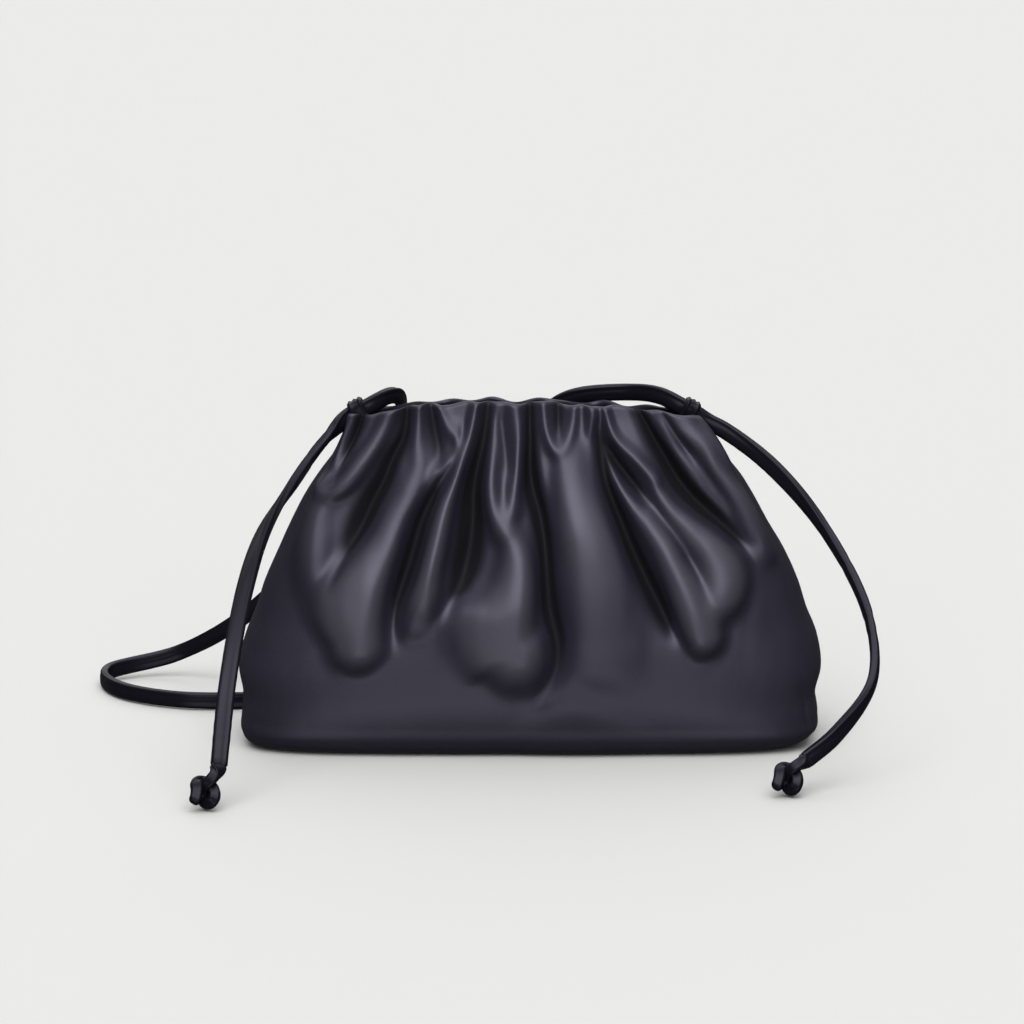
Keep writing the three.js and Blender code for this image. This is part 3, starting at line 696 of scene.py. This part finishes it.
# %% [markdown]
# ## Building the pouch
# The whole pouch is one closed skin, as leather has an outside and an inside: from the middle of the base out
# to its edge, up the outer wall, over the rolled hem, and down the inner wall to the middle of the floor.
# Solidify could make the wall, but deep folds would push its inside through its outside. Here the inner wall
# takes the outer one's folds at the same height. Fine wrinkles from a noise that is stretched down the folds
# keep the surfaces between them from looking cast.

# %% Build the pouch's skin
FRONT_COLUMNS, BACK_COLUMNS = 400, 140
COLUMNS = FRONT_COLUMNS + BACK_COLUMNS


def ring_list():
    """height, depth through the wall from 0 to 1, and spread from the middle, for every ring."""
    rings = [(0.0, 0.0, k) for k in (0.0, 0.35, 0.65, 0.85, 0.96)]
    rings += [(0.0, 0.0, 1.0)] + [(h, 0.0, 1.0) for h in (0.004, 0.009, 0.014, 0.02, 0.028, 0.036)]
    rings += [(h, 0.0, 1.0) for h in np.linspace(0.046, 0.985, 130)]
    roll = np.linspace(0, math.pi, 9)
    rings += [(1 - 0.011 * (1 - math.sin(a)), 0.5 - 0.5 * math.cos(a), 1.0) for a in roll]
    rings += [(h, 1.0, 1.0) for h in np.linspace(0.975, WALL / POUCH_HEIGHT, 26)]
    rings += [(WALL / POUCH_HEIGHT, 1.0, k) for k in (0.8, 0.5, 0.0)]
    return rings


RINGS = ring_list()
print(len(RINGS), "rings of", COLUMNS, "columns")

# %% [markdown]
# ## Any point of the pouch
# One function turns a place on the pouch into a point: the sections give the two half widths, a rounded square
# gives the way between them, and the lift pushes it outwards. A lattice or a sculpt would reach the same
# shape, but with a function the outer and the inner wall come from the same words.

# %% Wrinkles and the pouch's surface
WRINKLE_BROAD, WRINKLE_FINE = (42, 20, 3.1), (150, 62, 5.7)


def wrinkle(x, z, side, strength):
    """A low unevenness of the leather, longer down the folds than across them."""
    broad = noise.noise(Vector((x * WRINKLE_BROAD[0], z * WRINKLE_BROAD[1], side * WRINKLE_BROAD[2])))
    fine = noise.noise(Vector((x * WRINKLE_FINE[0], z * WRINKLE_FINE[1], side * WRINKLE_FINE[2])))
    return strength * (0.55 * broad + 0.22 * fine)


def pouch_point(turn, side, height, depth, spread, lift):
    """Points of the pouch in mm. turn is -1 at the left end and 1 at the right one."""
    left, right, front, back, square = read_table(SECTIONS, height).T
    half_width = np.where(
        turn < 0,
        BASE_WIDTH / 2 + (MOUTH_WIDTH / 2 - MOUTH_SHIFT - BASE_WIDTH / 2) * left,
        BASE_WIDTH / 2 + (MOUTH_WIDTH / 2 + MOUTH_SHIFT - BASE_WIDTH / 2) * right,
    )
    half_depth = np.where(side < 0, BASE_DEPTH / 2 + (MOUTH_DEPTH - BASE_DEPTH) / 2 * front,
                          BASE_DEPTH / 2 + (MOUTH_DEPTH - BASE_DEPTH) / 2 * back)
    across = turn * (1.5 - 0.5 * turn * turn)
    away = np.clip(1 - np.abs(across) ** square, 0, 1) ** (1 / square)
    hem = ease(height, 0.88, 0.95)
    inset_x = depth * (WALL + (CORNER - WALL) * hem)
    inset_y = depth * (WALL + (HEM - WALL) * hem)
    normal = unit(np.column_stack([np.sign(across) * np.abs(across) ** (square - 1) / half_width,
                                   side * away ** (square - 1) / half_depth]))
    sag = read_table(RIM_LINE, across)[:, 0]
    rim = (POUCH_HEIGHT - RIM_DROP * sag - BACK_RIM_DROP * (side > 0) * (1 - across**4)
           - END_DIP * (1 - ease(away, 0.28, 0.52)) + RIM_WAVE * (np.sin(across * 17) + np.sin(across * 29 + side)))
    return np.column_stack([
        (across * (half_width - inset_x) + normal[:, 0] * lift) * spread,
        (side * away * (half_depth - inset_y) + normal[:, 1] * lift) * spread,
        height * (POUCH_HEIGHT + (rim - POUCH_HEIGHT) * height**3),
    ])

# %% [markdown]
# ## Softening the folds
# Strokes alone leave edges that are sharper than leather allows. The lifts lie in a grid, so each can be
# evened out with its neighbours a few times, as a smooth brush would do. The inner wall then takes its lift
# from the outer one at the same height.

# %% Soften the folds
def softened(grid, times):
    """Evens a grid of lifts out, as leather can't bend more sharply than its thickness lets it."""
    for _ in range(times):
        grid[:, 1:-1] = (grid[:, :-2] + 2 * grid[:, 1:-1] + grid[:, 2:]) / 4
        grid[1:-1] = (grid[:-2] + 2 * grid[1:-1] + grid[2:]) / 4
    return grid


def backed(grid):
    """Lets the inner wall follow the outer one, so that it stays behind the deepest valley."""
    height, depth, spread = np.array(RINGS).T
    outer = np.flatnonzero((depth <= 0.5) & (spread == 1))
    for ring in np.flatnonzero(depth > 0.5):
        beside = outer[np.abs(height[outer] - height[ring]) <= INNER_REACH]
        grid[ring] = grid[beside].min(axis=0)
    return grid

# %% Make the pouch
SOFTENING = 7
INNER_REACH = 0.02
END_FADE = (0.93, 1.0)
WRINKLE_LOW, WRINKLE_RISE = 0.25, (0.12, 0.5)
AROUND_UV = 0.6
gather = {}


def place_pouch(around, along):
    """Every point of the pouch and its UV, whose second number is the lift, which places the painted highlight and
    shade.
    """
    column = np.rint(around * COLUMNS).astype(int)
    ring = np.rint(along * (len(RINGS) - 1)).astype(int)
    height, depth, spread = np.array(RINGS)[ring].T
    on_front = column <= FRONT_COLUMNS
    turn = np.where(on_front, -1 + 2 * column / FRONT_COLUMNS, 1 - 2 * (column - FRONT_COLUMNS) / BACK_COLUMNS)
    side = np.where(on_front, -1, 1)
    across = turn * (1.5 - 0.5 * turn * turn)
    plain = pouch_point(turn, side, height, 0 * depth, 0 * spread + 1, 0 * height)
    lift = np.where(on_front, front_lift(plain), fold_lift(BACK_FOLDS, across, height))
    grid = np.zeros((len(RINGS), COLUMNS + 1))
    from_ends = 1 - ease(np.abs(across), *END_FADE)
    grid[ring, column] = lift * from_ends
    lift = backed(softened(grid, SOFTENING))[ring, column]
    gather["lift"] = lift.copy()
    outside = depth < 1
    strength = (WRINKLE_LOW + (1 - WRINKLE_LOW) * ease(height, *WRINKLE_RISE)) * from_ends
    lift[outside] += [wrinkle(p[0] * MM, p[2] * MM, s, a)
                      for p, s, a in zip(plain[outside], side[outside], strength[outside])]
    points = pouch_point(turn, side, height, depth, spread, lift)
    return points * MM, np.column_stack([around * AROUND_UV, gather["lift"] * MM])


pouch = closed_skin("pouch_leather_shell", COLUMNS, len(RINGS) - 1, place_pouch, caps=False)
print(f"lifts from {gather['lift'].min():.1f} to {gather['lift'].max():.1f} mm")
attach(pouch, "root")
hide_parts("pouch")


# %% [markdown]
# ## Shader maths
# A material is a small network of nodes. This class wraps a node's output, so that sums and products on it
# read as Python, and one method makes any other node from its type, its settings and its inputs.

# %% A short way to write materials
class Signal:
    """A node's output. Arithmetic on it adds Math nodes."""

    def __init__(self, finish, socket):
        self.finish, self.socket = finish, socket

    def maths(self, operation, *values):
        return self.finish.node("ShaderNodeMath", {"operation": operation}, *values)

    def __add__(self, other):
        return self.maths("ADD", self, other)

    def __sub__(self, other):
        return self.maths("SUBTRACT", self, other)

    def __rsub__(self, other):
        return self.maths("SUBTRACT", other, self)

    def __mul__(self, other):
        return self.maths("MULTIPLY", self, other)

    __radd__, __rmul__ = __add__, __mul__

# %% One method for every node
class Finish:
    """The nodes of a material or a world under construction."""

    def __init__(self, owner):
        self.owner = owner
        owner.use_nodes = True
        self.tree = owner.node_tree
        self.tree.nodes.clear()

    def node(self, kind, settings=None, *values, output=0, **named):
        """Adds a node. Its settings are set first, then its inputs by order or by name."""
        made = self.tree.nodes.new(kind)
        for key, value in (settings or {}).items():
            setattr(made, key, value)
        inputs = list(enumerate(values)) + [(key.replace("_", " "), value) for key, value in named.items()]
        for key, value in inputs:
            if isinstance(value, Signal):
                self.tree.links.new(value.socket, made.inputs[key])
            else:
                made.inputs[key].default_value = value
        return Signal(self, made.outputs[output]) if made.outputs else None

    def axes(self, vector):
        """The three parts of a vector."""
        first = self.node("ShaderNodeSeparateXYZ", None, vector)
        return [Signal(self, socket) for socket in first.socket.node.outputs]

    def step(self, value, start, stop, low, high):
        """Goes smoothly from low to high as value goes from start to stop."""
        return self.node("ShaderNodeMapRange", {"interpolation_type": "SMOOTHSTEP"}, value, start, stop, low, high)

    def blend(self, share, first, second):
        """A colour between two."""
        made = self.tree.nodes.new("ShaderNodeMix")
        made.data_type = "RGBA"
        colour_inputs = [s for s in made.inputs if s.type == "RGBA"]
        self.tree.links.new(share.socket, made.inputs[0])
        for socket, value in zip(colour_inputs, (first, second)):
            if isinstance(value, Signal):
                self.tree.links.new(value.socket, socket)
            else:
                socket.default_value = value
        return Signal(self, next(s for s in made.outputs if s.type == "RGBA"))

    def surface(self, matte_share=None, matte_colour=None, **inputs):
        """Ends the network in one Principled shader, mixed with a matte one in a painted shade colour where there
        is a share for it.
        """
        shader = self.node("ShaderNodeBsdfPrincipled", None, **inputs)
        if matte_share is not None:
            # The matte shader carries the painted shade in the valleys.
            matte = self.node("ShaderNodeBsdfPrincipled", None, Base_Color=matte_colour, Roughness=0.8,
                              Specular_IOR_Level=0.1)
            shader = self.node("ShaderNodeMixShader", None, matte_share, shader, matte)
        self.node("ShaderNodeOutputMaterial", None, Surface=shader)
        return self.owner


# %% [markdown]
# ## The leather
# The bag is smooth, dark aubergine leather with a soft sheen, and the strap is the same kind, blacker and
# glossier. The grain is a pattern of cells under a millimetre wide, so it hardly shows as relief, but it breaks
# the highlights up a little. The pouch's UV map carries each point's lift: crests get a painted highlight, a
# lighter colour, and valleys get painted shade, a dark colour, as light hardly gets in there. One Principled
# shader would keep its gloss there, so a matt one in the painted shade colour is mixed in. Object coordinates
# keep the grain one size everywhere.

# %% Make the pouch's leather
SHEEN_TINT = (0.83, 0.80, 1.0, 1)
CLOUD_SCALE, FINE_SCALE = 26.0, 240.0
# A painted highlight colour for the crests and a painted shade colour for the valleys, with the lifts where each
# fades in.
CREST_PAINTED_HIGHLIGHT = (0.036, 0.034, 0.045, 1)
FOLD_PAINTED_SHADE = (0.0060, 0.0056, 0.0074, 1)
CREST_HIGHLIGHT_LIFTS = (0.002, 0.0082)
FOLD_SHADE_LIFTS = (-0.0003, -0.0036)
FOLD_SHADE_SHARE = 0.94
GLOSS_SHARES = (-0.05, 0.08, 0.05)
CLOUD_SHARE, FINE_SHARE = 0.8, 0.2


def leather(name, deep, worn, roughness, grain_size, grain_height, crease_height, shine=0.5, gathered=False):
    """A leather between two tones, grain sizes in metres. gathered paints highlights on crests, shade in valleys.
    """
    made = Finish(bpy.data.materials.new(name))
    at = made.node("ShaderNodeTexCoord", None, output="Object")
    cells = made.node("ShaderNodeTexVoronoi", None, Vector=at, Scale=1 / grain_size)
    clouds = made.node("ShaderNodeTexNoise", None, Vector=at, Scale=CLOUD_SCALE, Detail=3.0, Roughness=0.5)
    fine = made.node("ShaderNodeTexNoise", None, Vector=at, Scale=FINE_SCALE, Detail=4.0, Roughness=0.6)
    relief = cells * grain_height + fine * crease_height
    bump = made.node("ShaderNodeBump", None, Strength=1.0, Distance=1.0, Height=relief)
    base, from_clouds, from_fine = GLOSS_SHARES
    gloss = roughness + base + clouds * from_clouds + fine * from_fine
    tone = made.blend(clouds * CLOUD_SHARE + fine * FINE_SHARE, deep, worn)
    matte = {}
    if gathered:
        # Painted highlight on the crests and painted shade in the valleys, both placed by the lift in the UV map.
        leather_map = made.node("ShaderNodeUVMap", {"uv_map": "leather"})
        lift = made.axes(leather_map)[1]
        tone = made.blend(made.step(lift, *CREST_HIGHLIGHT_LIFTS, 0.0, 1.0), tone, CREST_PAINTED_HIGHLIGHT)
        matte = {"matte_share": made.step(lift, *FOLD_SHADE_LIFTS, 0.0, 1.0) * FOLD_SHADE_SHARE, "matte_colour": FOLD_PAINTED_SHADE}
    return made.surface(Base_Color=tone, Roughness=gloss, Normal=bump, Specular_Tint=SHEEN_TINT,
                        Specular_IOR_Level=shine, **matte)

# %% Give the pieces their leathers
AUBERGINE = (0.0105, 0.0095, 0.0165, 1)
AUBERGINE_WORN = (0.016, 0.0145, 0.024, 1)
INK = (0.004, 0.0038, 0.006, 1)
INK_WORN = (0.007, 0.0065, 0.0105, 1)
pouch_leather = leather("aubergine_leather", AUBERGINE, AUBERGINE_WORN, 0.42, 0.0009, 0.000018, 0.00006,
                        gathered=True)
strap_leather = leather("ink_strap_leather", INK, INK_WORN, 0.22, 0.0008, 0.000010, 0.00004, shine=0.15)
pouch.data.materials.append(pouch_leather)
for piece in (strap, knot_left, knot_right, loop_left, loop_right):
    piece.data.materials.append(strap_leather)
print("leathers:", pouch_leather.name, "and", strap_leather.name)

# %% [markdown]
# ## Floor and light
# The photograph is a plain studio shot: one pale floor that runs out of sight, and very soft light from above.
# A wide disc stands for the paper floor. One weak, broad lamp above and in front only shapes the soft shadow
# under the bag. The rest of the light comes from the studio around it, in the next step.

# %% Lay the floor
FLOOR_RADIUS = 9.0
PAPER_TONE = (0.495, 0.495, 0.489, 1)
ground = bmesh.new()
bmesh.ops.create_circle(ground, cap_ends=True, segments=96, radius=FLOOR_RADIUS)
floor = finished("studio_floor", ground)
floor.visible_glossy = False
paper = Finish(bpy.data.materials.new("pale_paper"))
floor.data.materials.append(paper.surface(Base_Color=PAPER_TONE, Roughness=0.7))

# %% [markdown]
# ## One lamp
# The soft dark line under the bag needs a light with a place. A sun lamp with a wide angle acts as a big soft
# box far away, and is weak, so that its highlight never shows as a spot on the leather.

# %% Hang the lights
SUN_FROM = Vector((-0.25, -1.0, 1.5))
SUN_STRENGTH = 0.5
SUN_SPREAD = math.radians(40)
lamp = bpy.data.lights.new("top_softbox", "SUN")
lamp.energy = SUN_STRENGTH
lamp.angle = SUN_SPREAD
holder = bpy.data.objects.new("top_softbox", lamp)
holder.location = SUN_FROM
holder.rotation_euler = SUN_FROM.to_track_quat("Z", "Y").to_euler()
bpy.context.scene.collection.objects.link(holder)
print("one lamp over a floor of", FLOOR_RADIUS, "m radius")

# %% [markdown]
# ## The studio around the bag
# Glossy leather is a mirror that is out of focus, so what stands around the bag matters as much as the lamps.
# A large soft screen hangs in front and above, the floor in front throws some light back, and the sides and
# the horizon are dark. That leaves the folds' flanks dark. A world that only changes with direction lights the
# floor evenly, as in the photograph.

# %% Light the studio
studio = Finish(bpy.data.worlds.new("studio"))
bpy.context.scene.world = studio.owner
bpy.context.scene.view_settings.view_transform = "Standard"


# How bright each part is, and between which heights or sides of the view it fades.
SCREEN, BEHIND, OVERHEAD, GLOW, DARK = 3.2, 0.34, 0.85, 1.9, 0.05
SIDE_EDGE, FRONT_EDGE, BACK_EDGE = (0.30, 0.62), (-0.35, 0.15), (0.1, 0.5)
SCREEN_EDGE, OVERHEAD_EDGE = (0.10, 0.44), (0.40, 0.85)
GLOW_FOOT, GLOW_TOP = (-0.75, -0.4), (-0.28, -0.02)

to_right, to_back, to_top = studio.axes(studio.node("ShaderNodeTexCoord", None, output="Generated"))
sideways = studio.node("ShaderNodeMath", {"operation": "ABSOLUTE"}, to_right)
near_middle = studio.step(sideways, *SIDE_EDGE, 1.0, 0.0)
in_front = studio.step(to_back, *FRONT_EDGE, 1.0, 0.0) * near_middle
behind = studio.step(to_back, *BACK_EDGE, 0.0, BEHIND) * near_middle
screen = studio.step(to_top, *SCREEN_EDGE, 0.0, 1.0) * (in_front + behind)
overhead = studio.step(to_top, *OVERHEAD_EDGE, 0.0, OVERHEAD)
glow = studio.step(to_top, *GLOW_FOOT, 0.0, GLOW) * studio.step(to_top, *GLOW_TOP, 1.0, 0.0) * in_front
light = screen * SCREEN + overhead + glow + DARK
sky = studio.node("ShaderNodeBackground", None, Color=(1, 1, 1, 1), Strength=light)
studio.node("ShaderNodeOutputWorld", None, Surface=sky)
print(len(studio.tree.nodes), "nodes make the studio")
